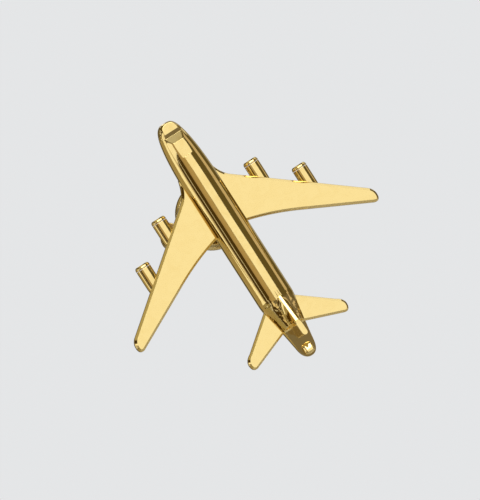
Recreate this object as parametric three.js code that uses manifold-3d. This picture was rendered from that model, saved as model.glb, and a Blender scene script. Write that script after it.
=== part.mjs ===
// A gold-plated airliner lapel pin: a four-engined jetliner seen from above, brazed up
// from separate brass pieces, with a post on its back and a butterfly clutch on the post.
//
// Millimetres. Worn upright: +Z is up and runs to the nose, +X is starboard, and -Y looks
// away from the cloth. The origin is on the flat back, on the axis of the post.
//
// Every piece is laid out as the pin lies face up on a bench: x to starboard, y forward
// and z up from the flat back. One group then stands the whole pin up.

import * as THREE from 'three';
import { mergeVertices } from 'three/addons/utils/BufferGeometryUtils.js';
import Module from 'manifold-3d';

const wasm = await Module();
wasm.setup();

// ---- driving dimensions ----

const LENGTH = 32.0;
const POST_AFT_OF_NOSE = 11.8;
const FIT_GAP = 0.03;            // clearance that a brazed joint leaves round a piece

const BODY_HALF_WIDTH = 2.18;
const BODY_AXIS_HEIGHT = 2.2;
const BODY_SEGMENTS = 32;
const SIDE_TAPER = 0.45;         // how far each side draws in from the axis to the flat back

const HALF_SPAN = 17.0;
const WING_BACK = 1.35;
const WING_TOP = 2.2;
const WING_BEVEL_WIDTH = 0.3;
const WING_BEVEL_DEPTH = 0.6;
const WING_TANG_X = 1.4;

const TAILPLANE_HALF_SPAN = 6.9;
const TAILPLANE_BACK = 1.45;
const TAILPLANE_BEVEL_WIDTH = 0.26;
const TAILPLANE_BEVEL_DEPTH = 0.5;
const TAILPLANE_TANG_X = 0.75;

const FIN_TOP = 5.7;
const FIN_ROOT = 2.3;
const FIN_THICKNESS = 0.8;

const POD_RADIUS = 0.91;
const POD_BORE_RADIUS = 0.62;
const POD_BORE_DEPTH = 2.6;
const POD_LENGTH = 4.6;
const POD_AXIS_HEIGHT = 1.0;
const POD_SEGMENTS = 20;
const INTAKE_RING_LENGTH = 0.46;
const INNER_POD = { x: 6.5, aft: 8.9 };
const OUTER_POD = { x: 11.05, aft: 12.4 };

const POST_RADIUS = 0.55;
const POST_LENGTH = 8.6;
const SPIGOT_RADIUS = 0.4;
const PAD_RADIUS = 1.4;
const PAD_THICKNESS = 0.46;

const CLOTH_GAP = 2.1;           // from the flat back to the clutch, which the cloth fills
const CLUTCH_RADIUS = 4.2;
const CLUTCH_HOLE_RADIUS = 0.78;
const CLUTCH_SHEET = 0.4;
const CLUTCH_SEGMENTS = 36;
const EAR_SHEET = 0.35;
const EAR_PIVOT = { x: 3.4, lift: 1.95 };
const EAR_TIP = { x: 6.1, lift: 3.45 };
const JAW_HALF_WIDTH = 1.2;
const SPRING_RING_RADIUS = 2.5;
const SPRING_WIRE_RADIUS = 0.15;

const BIG = 100;                 // larger than the pin, for blocks that only trim

// The y of a station measured aft from the tip of the nose.
const station = (aft) => POST_AFT_OF_NOSE - aft;

// ---- geometry helpers ----

// A closed body from any three.js geometry: position only, shared vertices merged,
// collapsed triangles dropped, and faces turned outward.
function closed(source) {
  const loose = source.index ? source.toNonIndexed() : source.clone();
  const bare = new THREE.BufferGeometry();
  bare.setAttribute('position', loose.getAttribute('position'));
  const merged = mergeVertices(bare, 1e-4);
  const position = merged.getAttribute('position');
  const [a, b, c] = [new THREE.Vector3(), new THREE.Vector3(), new THREE.Vector3()];
  const triangles = [];
  let volume = 0;
  for (let i = 0; i < merged.index.count; i += 3) {
    const corner = [0, 1, 2].map((k) => merged.index.getX(i + k));
    if (new Set(corner).size < 3) continue;
    triangles.push(corner);
    a.fromBufferAttribute(position, corner[0]);
    b.fromBufferAttribute(position, corner[1]);
    c.fromBufferAttribute(position, corner[2]);
    volume += a.dot(b.cross(c));
  }
  if (volume < 0) triangles.forEach((corner) => corner.reverse());
  merged.setIndex(triangles.flat());
  return merged;
}

function solid(geometry) {
  const body = closed(geometry);
  const mesh = new wasm.Mesh({
    numProp: 3,
    vertProperties: Float32Array.from(body.getAttribute('position').array),
    triVerts: Uint32Array.from(body.index.array),
  });
  mesh.merge();
  return new wasm.Manifold(mesh);
}

function geometryOf(manifold) {
  const { vertProperties, triVerts, numProp } = manifold.getMesh();
  const geometry = new THREE.BufferGeometry();
  const position = new THREE.BufferAttribute(new Float32Array(vertProperties), numProp);
  geometry.setAttribute('position', position);
  geometry.setIndex(new THREE.BufferAttribute(new Uint32Array(triVerts), 1));
  geometry.computeVertexNormals();
  return geometry;
}

// A box given by its low and high corners.
function block(low, high) {
  const size = high.map((value, i) => value - low[i]);
  const middle = high.map((value, i) => (value + low[i]) / 2);
  return new THREE.BoxGeometry(...size).translate(...middle);
}

// A shape drawn in (forward, up) and spread sideways by half the width each way.
function sideSlab(shape, width) {
  const geometry = new THREE.ExtrudeGeometry(shape, { depth: width, bevelEnabled: false });
  const cyclic = new THREE.Matrix4().makeBasis(
    new THREE.Vector3(0, 1, 0),
    new THREE.Vector3(0, 0, 1),
    new THREE.Vector3(1, 0, 0),
  );
  return geometry.translate(0, 0, -width / 2).applyMatrix4(cyclic);
}

// A flat plate from a plan outline, with a sloping bevel round its upper edge only.
function bevelledPlate(outline, back, top, bevelWidth, bevelDepth) {
  const plate = new THREE.ExtrudeGeometry(outline, {
    depth: top - bevelDepth - back,
    curveSegments: 8,
    bevelEnabled: true,
    bevelSegments: 1,
    bevelSize: bevelWidth,
    bevelOffset: -bevelWidth,
    bevelThickness: bevelDepth,
  }).translate(0, 0, back);
  const below = block([-BIG, -BIG, back - BIG], [BIG, BIG, back]);
  return solid(plate).subtract(solid(below));
}

// A turned piece on the axis of the post. Its profile is [radius, lift], and lift is
// measured away from the pin's back, starting from the given gap.
function turnedOnPost(profile, segments, gap) {
  const points = profile.map(([radius, lift]) => new THREE.Vector2(radius, lift));
  const geometry = new THREE.LatheGeometry(points, segments);
  return geometry.rotateX(-Math.PI / 2).translate(0, 0, -gap);
}

// The same piece for the other side of the pin.
const mirrored = (manifold) => solid(geometryOf(manifold).scale(-1, 1, 1));

// ---- materials ----

const metal = (colour, roughness) => new THREE.MeshStandardMaterial({
  color: new THREE.Color(...colour),
  roughness,
  metalness: 1,
});

const bodyGold = () => metal([0.93, 0.78, 0.42], 0.12);
const plateGold = () => metal([0.95, 0.82, 0.48], 0.16);
const podGold = () => metal([0.92, 0.76, 0.4], 0.14);
const clutchBrass = () => metal([0.86, 0.7, 0.38], 0.25);
const postSteel = () => metal([0.72, 0.7, 0.66], 0.3);
const springSteel = () => metal([0.62, 0.62, 0.63], 0.32);

// ---- the aeroplane ----

// Half the body's plan outline, nose to tail, as x against y.
function bodyHalfOutline() {
  const path = new THREE.Path();
  path.moveTo(0, station(0));
  path.quadraticCurveTo(1.6, station(0), 1.62, station(1.6));
  path.quadraticCurveTo(2.16, station(4.5), BODY_HALF_WIDTH, station(8.6));
  path.lineTo(BODY_HALF_WIDTH, station(24.3));
  path.quadraticCurveTo(1.55, station(27.6), 1.15, station(30.4));
  path.quadraticCurveTo(0.95, station(LENGTH), 0, station(LENGTH));
  return path.getPoints(7);
}

// The body is round above its axis. Below it, the sides draw in a little to the flat back.
function bodyBlank() {
  const half = bodyHalfOutline();
  const crown = new THREE.LatheGeometry([...half].reverse(), BODY_SEGMENTS);
  crown.translate(0, 0, BODY_AXIS_HEIGHT);
  const port = half.slice(1, -1).map((p) => new THREE.Vector2(-p.x, p.y));
  const plan = new THREE.Shape([...half, ...port.reverse()]);
  const keel = new THREE.ExtrudeGeometry(plan, {
    depth: 1,
    bevelEnabled: true,
    bevelSegments: 1,
    bevelSize: SIDE_TAPER,
    bevelOffset: -SIDE_TAPER,
    bevelThickness: BODY_AXIS_HEIGHT,
  }).translate(0, 0, BODY_AXIS_HEIGHT);
  const above = block([-BIG, -BIG, BODY_AXIS_HEIGHT], [BIG, BIG, BIG]);
  return solid(crown).add(solid(keel).subtract(solid(above)));
}

// The nose from the side: a small cap, a crease behind it, a steep little ramp, and then a
// long shallow flat that ends in a step up to the crown.
function noseDeckCut() {
  const deck = new THREE.Shape();
  deck.moveTo(station(4.75), BIG);
  deck.lineTo(station(4.75), 4.19);
  deck.lineTo(station(4.6), 4.02);
  deck.lineTo(station(2.5), 3.82);
  deck.lineTo(station(1.68), 3.47);
  deck.lineTo(station(0.95), 3.68);
  deck.lineTo(station(0.95), BIG);
  return solid(sideSlab(deck, 2 * BODY_HALF_WIDTH));
}

// The step down behind the crown, and the low flat that runs from it to the tail.
function tailDeckCut() {
  const deck = new THREE.Shape();
  deck.moveTo(station(27.45), BIG);
  deck.lineTo(station(27.45), 3.85);
  deck.lineTo(station(28.3), 2.75);
  deck.lineTo(station(LENGTH + 1), 2.12);
  deck.lineTo(station(LENGTH + 1), BIG);
  return solid(sideSlab(deck, 2 * BODY_HALF_WIDTH));
}

// The starboard wing in plan: a small root strake, a swept leading edge, a rounded tip,
// and a trailing edge that turns square to the body near the root.
function wingOutline(gap) {
  const inner = WING_TANG_X - gap;
  const outline = new THREE.Shape();
  outline.moveTo(inner, station(6.2 - gap));
  outline.lineTo(2.1, station(6.5 - gap));
  outline.quadraticCurveTo(2.55, station(8.3 - gap), 3.5, station(9.03 - gap));
  outline.lineTo(16.35, station(18.99 - gap));
  outline.quadraticCurveTo(HALF_SPAN + 0.05, station(19.5), HALF_SPAN, station(20.3));
  outline.quadraticCurveTo(HALF_SPAN - 0.05, station(21.05 + gap), 16.3, station(20.9 + gap));
  outline.lineTo(9.0, station(17.3 + gap));
  outline.quadraticCurveTo(5.6, station(15.55 + gap), 2.2, station(14.65 + gap));
  outline.lineTo(inner, station(14.6 + gap));
  return outline;
}

function wingPlate(gap) {
  return bevelledPlate(
    wingOutline(gap),
    WING_BACK - gap,
    WING_TOP + gap,
    WING_BEVEL_WIDTH,
    WING_BEVEL_DEPTH,
  );
}

// A round seat for an engine pod, scooped out of the wing from below.
function podSeat(place) {
  const length = POD_LENGTH + FIT_GAP;
  const radius = POD_RADIUS + FIT_GAP;
  const seat = new THREE.CylinderGeometry(radius, radius, length, POD_SEGMENTS);
  seat.translate(place.x, station(place.aft) - length / 2, POD_AXIS_HEIGHT);
  return solid(seat);
}

function wing() {
  return wingPlate(0).subtract(podSeat(INNER_POD)).subtract(podSeat(OUTER_POD));
}

function tailplaneOutline(gap) {
  const inner = TAILPLANE_TANG_X - gap;
  const outline = new THREE.Shape();
  outline.moveTo(inner, station(23.75 - gap));
  outline.lineTo(6.05, station(27.85 - gap));
  const tip = TAILPLANE_HALF_SPAN;
  outline.quadraticCurveTo(tip, station(28.3), tip, station(29.0));
  outline.quadraticCurveTo(tip - 0.05, station(29.85), 6.2, station(29.75 + gap));
  outline.lineTo(inner, station(27.75 + gap));
  return outline;
}

function tailplane(gap) {
  return bevelledPlate(
    tailplaneOutline(gap),
    TAILPLANE_BACK - gap,
    WING_TOP + gap,
    TAILPLANE_BEVEL_WIDTH,
    TAILPLANE_BEVEL_DEPTH,
  );
}

// The fin from the side: a long rising ridge and a short square-cut top.
function finSlab(gap) {
  const profile = new THREE.Shape();
  profile.moveTo(station(23.9 - gap), FIN_ROOT - gap);
  profile.lineTo(station(23.9 - gap), 4.2);
  profile.lineTo(station(24.4), 4.42);
  profile.lineTo(station(27.6), FIN_TOP - 0.3);
  profile.quadraticCurveTo(station(28.0), FIN_TOP, station(28.4), FIN_TOP);
  profile.lineTo(station(29.2), FIN_TOP);
  profile.quadraticCurveTo(station(29.65), FIN_TOP, station(29.6), FIN_TOP - 0.5);
  profile.lineTo(station(29.4 + gap), FIN_ROOT - gap);
  return solid(sideSlab(profile, FIN_THICKNESS + 2 * gap));
}

// The small dome that stands on the tail deck.
function tailBoss(gap) {
  const boss = new THREE.SphereGeometry(1, 24, 14);
  boss.scale(0.66 + gap, 0.8 + gap, 0.8 + gap);
  return solid(boss.translate(0, station(31.05), 2.3));
}

function fuselage() {
  const recess = turnedOnPost(
    [[0, -PAD_THICKNESS - 0.04], [PAD_RADIUS + FIT_GAP, -PAD_THICKNESS - 0.04],
      [PAD_RADIUS + FIT_GAP, 1], [0, 1]],
    CLUTCH_SEGMENTS,
    0,
  );
  const wingSlot = wingPlate(FIT_GAP);
  const tailSlot = tailplane(FIT_GAP);
  return bodyBlank()
    .subtract(noseDeckCut())
    .subtract(tailDeckCut())
    .subtract(wingSlot)
    .subtract(mirrored(wingSlot))
    .subtract(tailSlot)
    .subtract(mirrored(tailSlot))
    .subtract(finSlab(FIT_GAP))
    .subtract(tailBoss(FIT_GAP))
    .subtract(solid(recess));
}

// A pod is a blind tube: open in front, closed and drawn in behind.
function podGeometry() {
  const ringEnd = -INTAKE_RING_LENGTH - 0.04;
  const profile = [
    [0, -POD_BORE_DEPTH],
    [POD_BORE_RADIUS, -POD_BORE_DEPTH],
    [POD_BORE_RADIUS, ringEnd],
    [POD_RADIUS, ringEnd],
    [POD_RADIUS, -2.2],
    [0.84, -3.4],
    [0.62, -4.2],
    [0.4, -POD_LENGTH],
    [0, -POD_LENGTH],
  ].map(([radius, y]) => new THREE.Vector2(radius, y));
  return new THREE.LatheGeometry(profile, POD_SEGMENTS);
}

// The lip of the intake: a ring with a rolled front edge.
function intakeRingGeometry() {
  const lip = new THREE.Shape();
  const middle = (POD_RADIUS + POD_BORE_RADIUS) / 2;
  const roll = (POD_RADIUS - POD_BORE_RADIUS) / 2;
  lip.moveTo(POD_BORE_RADIUS, -INTAKE_RING_LENGTH);
  lip.lineTo(POD_RADIUS, -INTAKE_RING_LENGTH);
  lip.absarc(middle, -roll, roll, 0, Math.PI, false);
  lip.closePath();
  return new THREE.LatheGeometry(lip.getPoints(3), POD_SEGMENTS);
}

// ---- the post and the butterfly clutch ----

const padGeometry = () => turnedOnPost(
  [[SPIGOT_RADIUS + FIT_GAP, -PAD_THICKNESS], [PAD_RADIUS, -PAD_THICKNESS],
    [PAD_RADIUS, 0], [SPIGOT_RADIUS + FIT_GAP, 0], [SPIGOT_RADIUS + FIT_GAP, -PAD_THICKNESS]],
  CLUTCH_SEGMENTS,
  0,
);

// A nail: spigot, shank, a groove for the clutch to snap into, and a blunt point.
const postGeometry = () => turnedOnPost(
  [[0, -PAD_THICKNESS], [SPIGOT_RADIUS, -PAD_THICKNESS], [SPIGOT_RADIUS, FIT_GAP],
    [POST_RADIUS, FIT_GAP], [POST_RADIUS, 6.3], [0.42, 6.45], [0.42, 6.75],
    [POST_RADIUS, 6.9], [POST_RADIUS, 7.5], [0.15, POST_LENGTH], [0, POST_LENGTH]],
  CLUTCH_SEGMENTS / 2,
  0,
);

// The disc against the cloth, its rim rolled over to hold the flange of the cap.
const clutchBaseGeometry = () => turnedOnPost(
  [[CLUTCH_HOLE_RADIUS, 0], [3.95, 0], [CLUTCH_RADIUS, 0.2], [CLUTCH_RADIUS, 0.85],
    [4.05, 1.0], [3.6, 1.0], [3.6, 0.76], [3.94, 0.72], [3.94, CLUTCH_SHEET],
    [CLUTCH_HOLE_RADIUS, CLUTCH_SHEET], [CLUTCH_HOLE_RADIUS, 0]],
  CLUTCH_SEGMENTS,
  CLOTH_GAP,
);

// The domed cap, with a window on each side for an ear.
function clutchCap() {
  const dome = solid(turnedOnPost(
    [[3.18, 0.44], [3.88, 0.44], [3.88, 0.69], [3.5, 0.72], [3.45, 1.3], [3.25, 1.9],
      [2.8, 2.5], [2.1, 2.95], [1.2, 3.1], [1.2, 2.8], [2.0, 2.65], [2.6, 2.25],
      [3.0, 1.75], [3.15, 1.2], [3.18, 0.44]],
    CLUTCH_SEGMENTS,
    CLOTH_GAP,
  ));
  const half = JAW_HALF_WIDTH + 0.15;
  const window = solid(block([2.45, -half, -CLOTH_GAP - 4], [5, half, -CLOTH_GAP - 1.3]));
  return dome.subtract(window).subtract(mirrored(window));
}

// The starboard ear in plan: a forked jaw round the post, a neck, and a rounded lobe.
function earOutline() {
  const grip = POST_RADIUS + 0.11;
  const tipX = 0.2;
  const reach = Math.acos(tipX / grip);
  const outline = new THREE.Shape();
  outline.moveTo(tipX, -JAW_HALF_WIDTH);
  outline.lineTo(3.6, -JAW_HALF_WIDTH);
  outline.quadraticCurveTo(4.1, -1.9, 4.8, -1.9);
  outline.quadraticCurveTo(EAR_TIP.x, -1.8, EAR_TIP.x, 0);
  outline.quadraticCurveTo(EAR_TIP.x, 1.8, 4.8, 1.9);
  outline.quadraticCurveTo(4.1, 1.9, 3.6, JAW_HALF_WIDTH);
  outline.lineTo(tipX, JAW_HALF_WIDTH);
  outline.absarc(0, 0, grip, reach, -reach, true);
  return outline;
}

// The ear is that outline cut from a strip which climbs away from the cloth outside the cap.
function ear() {
  const half = EAR_SHEET / 2;
  const under = [[0, 1.22 - half], [EAR_PIVOT.x, EAR_PIVOT.lift - half], [4.6, 2.45 - half],
    [EAR_TIP.x + 0.2, EAR_TIP.lift + 0.13 - half]];
  const over = under.map(([x, lift]) => [x, lift + EAR_SHEET]).reverse();
  const side = new THREE.Shape([...under, ...over].map(([x, z]) => new THREE.Vector2(x, z)));
  const strip = new THREE.ExtrudeGeometry(side, { depth: 6, bevelEnabled: false });
  strip.translate(0, 0, -3).rotateX(-Math.PI / 2).translate(0, 0, -CLOTH_GAP);
  const plan = new THREE.ExtrudeGeometry(earOutline(), {
    depth: 6,
    bevelEnabled: false,
    curveSegments: 6,
  });
  plan.translate(0, 0, -CLOTH_GAP - 6);
  return solid(strip).intersect(solid(plan));
}

// A split ring of wire inside the cap, which rises to press up under both jaws.
class SpringLine extends THREE.Curve {
  getPoint(t, target = new THREE.Vector3()) {
    const split = 0.09;
    const angle = Math.PI * (0.5 + split + t * (2 - 2 * split));
    const lift = 0.9 + 0.3 * Math.cos(2 * angle);
    return target.set(
      SPRING_RING_RADIUS * Math.cos(angle),
      SPRING_RING_RADIUS * Math.sin(angle),
      -CLOTH_GAP - lift,
    );
  }
}

function springGeometry() {
  const wire = new THREE.Shape();
  wire.absarc(0, 0, SPRING_WIRE_RADIUS, 0, 2 * Math.PI, false);
  return new THREE.ExtrudeGeometry(wire, {
    steps: 40,
    curveSegments: 4,
    bevelEnabled: false,
    extrudePath: new SpringLine(),
  });
}

// ---- assembly ----

const pin = new THREE.Group();

function place(parent, name, geometry, material) {
  const mesh = new THREE.Mesh(geometry, material);
  mesh.name = name;
  parent.add(mesh);
  return mesh;
}

place(pin, 'fuselage', geometryOf(fuselage()), bodyGold());
place(pin, 'tail_boss', geometryOf(tailBoss(0)), bodyGold());
place(pin, 'tail_fin', geometryOf(finSlab(0)), bodyGold());

const starboardWing = wing();
const starboardTailplane = tailplane(0);
place(pin, 'starboard_wing', geometryOf(starboardWing), plateGold());
place(pin, 'port_wing', geometryOf(mirrored(starboardWing)), plateGold());
place(pin, 'starboard_tailplane', geometryOf(starboardTailplane), plateGold());
place(pin, 'port_tailplane', geometryOf(mirrored(starboardTailplane)), plateGold());

for (const [side, sign] of [['port', -1], ['starboard', 1]]) {
  for (const [spot, seat] of [['inner', INNER_POD], ['outer', OUTER_POD]]) {
    const engine = new THREE.Group();
    engine.position.set(sign * seat.x, station(seat.aft), POD_AXIS_HEIGHT);
    place(engine, `${side}_${spot}_pod`, closed(podGeometry()), podGold());
    place(engine, `${side}_${spot}_intake_ring`, closed(intakeRingGeometry()), podGold());
    pin.add(engine);
  }
}

place(pin, 'post_pad', closed(padGeometry()), postSteel());
place(pin, 'post', closed(postGeometry()), postSteel());
place(pin, 'clutch_base', closed(clutchBaseGeometry()), clutchBrass());
place(pin, 'clutch_cap', geometryOf(clutchCap()), clutchBrass());
place(pin, 'clutch_spring', closed(springGeometry()), springSteel());

const starboardEar = ear();
place(pin, 'starboard_ear', geometryOf(starboardEar), clutchBrass());
place(pin, 'port_ear', geometryOf(mirrored(starboardEar)), clutchBrass());

// The bench layout is stood up: forward becomes up, and the face looks along -Y.
pin.rotation.x = Math.PI / 2;

export default pin;
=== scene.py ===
# %% [markdown]
# # A gold airliner lapel pin
# The CAD frame holds the real sizes and the joints of the pin. This notebook loads it and never
# moves it. Each cell below makes one piece or one finish of the real object, in metres, in the
# same frame: +X is starboard, +Z runs to the nose, and the face of the pin looks along -Y.

# %% Load the fixed frame
import math

import bmesh
import bpy
import numpy as np
from mathutils import Matrix, Quaternion, Vector


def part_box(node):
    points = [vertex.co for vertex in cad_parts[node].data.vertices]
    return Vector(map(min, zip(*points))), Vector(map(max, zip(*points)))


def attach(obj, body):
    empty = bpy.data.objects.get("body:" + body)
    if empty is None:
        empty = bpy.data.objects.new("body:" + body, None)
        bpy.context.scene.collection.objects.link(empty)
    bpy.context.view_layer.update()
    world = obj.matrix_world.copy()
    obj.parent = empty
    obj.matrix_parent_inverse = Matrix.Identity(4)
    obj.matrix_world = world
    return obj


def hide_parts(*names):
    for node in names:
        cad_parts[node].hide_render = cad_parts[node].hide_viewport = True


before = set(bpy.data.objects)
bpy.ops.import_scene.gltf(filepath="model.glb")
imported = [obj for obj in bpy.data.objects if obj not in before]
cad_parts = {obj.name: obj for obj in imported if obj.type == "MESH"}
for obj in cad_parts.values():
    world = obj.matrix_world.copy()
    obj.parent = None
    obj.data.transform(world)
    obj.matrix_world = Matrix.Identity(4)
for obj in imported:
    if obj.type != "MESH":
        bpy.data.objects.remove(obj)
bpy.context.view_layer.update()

MM = 0.001

# %% [markdown]
# ## Bench coordinates
# A jeweller builds this pin lying face up. So shapes are written in millimetres as x to starboard,
# y forward and z up from the flat back, and one function stands them up into the shared frame.
# Another way would be to write every shape in the frame's own metres, but then each formula would
# carry swapped axes and long decimals.

# %% Between the bench and the frame
def bench_box(node):
    """A node's low and high corner in bench millimetres: y is the frame's z, and z is its -y."""
    low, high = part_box(node)
    return (
        np.array([low.x, low.z, -high.y]) / MM,
        np.array([high.x, high.z, -low.y]) / MM,
    )


def upright(bench):
    """Bench millimetres to the frame in metres: x stays, y becomes z, and z becomes -y."""
    x, y, z = np.moveaxis(np.asarray(bench, float), -1, 0)
    return np.stack([x, -z, y], axis=-1) * MM


print("one bench millimetre up becomes", upright([0, 0, 1]).tolist(), "in the frame")

# %% [markdown]
# The few sizes that everything hangs on are read back from the CAD nodes, so that the visible pieces
# can't drift away from the model that the physics uses.

# %% Read the driving sizes from the frame
body_low, body_high = bench_box("fuselage")
wing_low, wing_high = bench_box("starboard_wing")
tailplane_low, tailplane_high = bench_box("starboard_tailplane")
fin_low, fin_high = bench_box("tail_fin")
boss_low, boss_high = bench_box("tail_boss")
NOSE_Y = body_high[1]
LENGTH = body_high[1] - boss_low[1]
HALF_WIDTH = body_high[0]
AXIS_HEIGHT = wing_high[2]
print("nose", round(NOSE_Y, 2), "length", round(LENGTH, 2), "half width", round(HALF_WIDTH, 2))


# %% [markdown]
# ## Places round the pin
# Cameras and lights are easiest to place by compass. Azimuth 0 is in front of the face, 90 is to
# starboard, and elevation 90 is straight ahead of the nose.

# %% Compass places
def direction(azimuth, elevation):
    """The unit vector (sin a cos e, -cos a cos e, sin e) from the pin towards azimuth a and elevation e."""
    a, e = math.radians(azimuth), math.radians(elevation)
    return Vector((math.sin(a) * math.cos(e), -math.cos(a) * math.cos(e), math.sin(e)))


print("port side is towards", [round(v, 3) for v in direction(-90, 0)])

# %% [markdown]
# ## The camera
# The pin is seen from a little to its port side, level with it. The camera is rolled, so that the
# aeroplane climbs to the upper left. A very long lens keeps both wings the same size. A matrix of the
# camera's own three axes sets its turn in one step, where angles would have to be worked out.

# %% Camera
LENS_MM = 600.0
SENSOR_MM = 36.0
VIEW_HEIGHT = 57.9 * MM
CAMERA_AZIMUTH = -13.0
ROLL_DEGREES = 32.67
AIM = Vector(upright([-0.47, NOSE_Y - 17.10, AXIS_HEIGHT]))

camera_data = bpy.data.cameras.new("studio_camera")
camera_data.lens = LENS_MM
camera_data.sensor_width = SENSOR_MM
camera_data.clip_start = 0.01
camera_data.clip_end = 20.0
camera = bpy.data.objects.new("studio_camera", camera_data)
bpy.context.scene.collection.objects.link(camera)
to_camera = direction(CAMERA_AZIMUTH, 0.0)
level_right = Vector((0, 0, 1)).cross(to_camera)
turn = math.radians(ROLL_DEGREES)
camera_right = math.cos(turn) * level_right - math.sin(turn) * Vector((0, 0, 1))
camera_up = math.sin(turn) * level_right + math.cos(turn) * Vector((0, 0, 1))
axes = Matrix((camera_right, camera_up, to_camera)).transposed().to_4x4()
distance = VIEW_HEIGHT * LENS_MM / SENSOR_MM
camera.matrix_world = Matrix.Translation(AIM + to_camera * distance) @ axes
bpy.context.scene.camera = camera
print("camera", round(distance / MM), "mm away")


# %% [markdown]
# ## From grids of points to closed skins
# Every piece here is a stack of rings: closed loops of points that are worked out with numpy. One
# helper sews neighbouring rings with quads and closes the two ends, with a flat cap or at a point.
# An end that is left "folded" has shrunk to a line, and closes when its doubled points are merged.

# %% Sew rings into a skin
def skin(rings, ends=("flat", "flat"), loop=False):
    """Quads between ring i and ring i + 1, all the way round; with loop, the last ring meets the first."""
    rings = np.asarray(rings, float)
    count, around = rings.shape[:2]
    index = np.arange(count * around).reshape(count, around)
    lower, upper = (index, np.roll(index, -1, 0)) if loop else (index[:-1], index[1:])
    corners = (lower, np.roll(lower, -1, 1), np.roll(upper, -1, 1), upper)
    faces = np.stack(corners, axis=-1).reshape(-1, 4).tolist()
    points = rings.reshape(-1, 3)
    if not loop:
        for end, ring in zip(ends, (0, -1)):
            if end == "flat":
                faces.append(index[ring].tolist())
            elif end == "point":
                points = np.vstack([points, rings[ring].mean(axis=0)])
                tip = np.full(around, len(points) - 1)
                faces += np.stack([index[ring], np.roll(index[ring], -1), tip], -1).tolist()
    return points, faces


print("a tube of two squares has", len(skin(np.zeros((2, 4, 3)))[1]), "faces")

# %% [markdown]
# Every piece is then finished in one place. Its doubled points are merged, its faces turned outward,
# and it is hung on the body that it rides on, while the CAD node that it stands for is hidden. Quads are
# shaded smooth.
# Flat caps with many sides keep hard edges, because a flat face of polished metal is a flat mirror.

# %% Finish a piece
def piece(name, points, faces, replaces, body, slot, material):
    """One closed object at the origin: doubles merged, faces outward, and many-sided caps hard-edged."""
    mesh = bpy.data.meshes.new(name)
    mesh.from_pydata(upright(points).tolist(), [], faces)
    shell = bmesh.new()
    shell.from_mesh(mesh)
    bmesh.ops.remove_doubles(shell, verts=shell.verts, dist=2e-7)
    bmesh.ops.dissolve_degenerate(shell, edges=shell.edges, dist=1e-8)
    bmesh.ops.recalc_face_normals(shell, faces=shell.faces)
    for face in shell.faces:
        face.smooth = len(face.verts) <= 4
    for edge in shell.edges:
        edge.smooth = all(face.smooth for face in edge.link_faces)
    open_edges = sum(not edge.is_manifold for edge in shell.edges)
    shell.to_mesh(mesh)
    shell.free()
    mesh.materials.append(material)
    made = bpy.data.objects.new(name, mesh)
    bpy.context.scene.collection.objects.link(made)
    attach(made, body)
    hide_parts(*replaces)
    print(name, len(mesh.vertices), "points,", open_edges, "open edges")
    return made


# %% [markdown]
# Three small formulas do most of the shaping: one rounds the corner where two surfaces cross, one
# fades a value in, and one draws a curve through an outline.

# %% Shaping formulas
def smooth_min(a, b, softness):
    """Half of a + b - sqrt((a - b)^2 + softness^2): the lower of two values, with a rounded corner."""
    return 0.5 * (a + b - np.sqrt((a - b) ** 2 + softness**2))


def smooth_step(value, low, high):
    """0 below low, 1 above high, and 3t^2 - 2t^3 in between."""
    t = np.clip((value - low) / (high - low), 0.0, 1.0)
    return t * t * (3 - 2 * t)


def bend(start, control, end, count):
    """A quadratic curve: (1-t)^2 start + 2t(1-t) control + t^2 end, without its last point."""
    t = np.linspace(0, 1, count, endpoint=False)[:, None]
    start, control, end = (np.asarray(p, float) for p in (start, control, end))
    return (1 - t) ** 2 * start + 2 * t * (1 - t) * control + t**2 * end


print("smooth_min of 1 and 1, softened by 0.1:", smooth_min(1.0, 1.0, 0.1))
print("smooth_step halfway up:", smooth_step(0.5, 0.0, 1.0))

# %% [markdown]
# ## Gold plate
# The pin is brass, polished to a mirror and plated with pale gold. A perfect mirror looks false, so the
# metal gets what polishing leaves: a slow waviness, hairlines from the buff, a faint haze of fingers in
# the roughness, and a tone that deepens in patches where the plate is thin. A scan of real metal could
# do this too, but noise at the right scales has no seams and needs no file.

# %% Node helper
def add(nodes, kind, **values):
    """A new node with its properties and inputs set by name."""
    node = nodes.new(kind)
    for key, value in values.items():
        if key in node.inputs:
            node.inputs[key].default_value = value
        else:
            setattr(node, key, value)
    return node


def ramp(nodes, links, source, start, end, low=0.0, high=1.0, kind="LINEAR"):
    """The output of a map range: source from start to end becomes low to high, and stays there beyond."""
    node = add(nodes, "ShaderNodeMapRange", interpolation_type=kind)
    for socket, value in (("From Min", start), ("From Max", end), ("To Min", low), ("To Max", high)):
        node.inputs[socket].default_value = value
    links.new(source, node.inputs["Value"])
    return node.outputs["Result"]


MICRON = 1e-6
print("finest bump step is", MICRON, "m")

# %% [markdown]
# The finish is one recipe with a few numbers to set. Two noises are stretched by a Mapping node: the
# slow wave along the length of the body, and the hairlines along the stroke of the buff.

# %% A mirror metal
def stretched_noise(nodes, links, place, stretch, **values):
    """The value of a noise whose Object coordinates are first scaled by stretch."""
    pull = add(nodes, "ShaderNodeMapping", Scale=stretch)
    noise = add(nodes, "ShaderNodeTexNoise", **values)
    links.new(place.outputs["Object"], pull.inputs["Vector"])
    links.new(pull.outputs["Vector"], noise.inputs["Vector"])
    return noise.outputs["Fac"]


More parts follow.
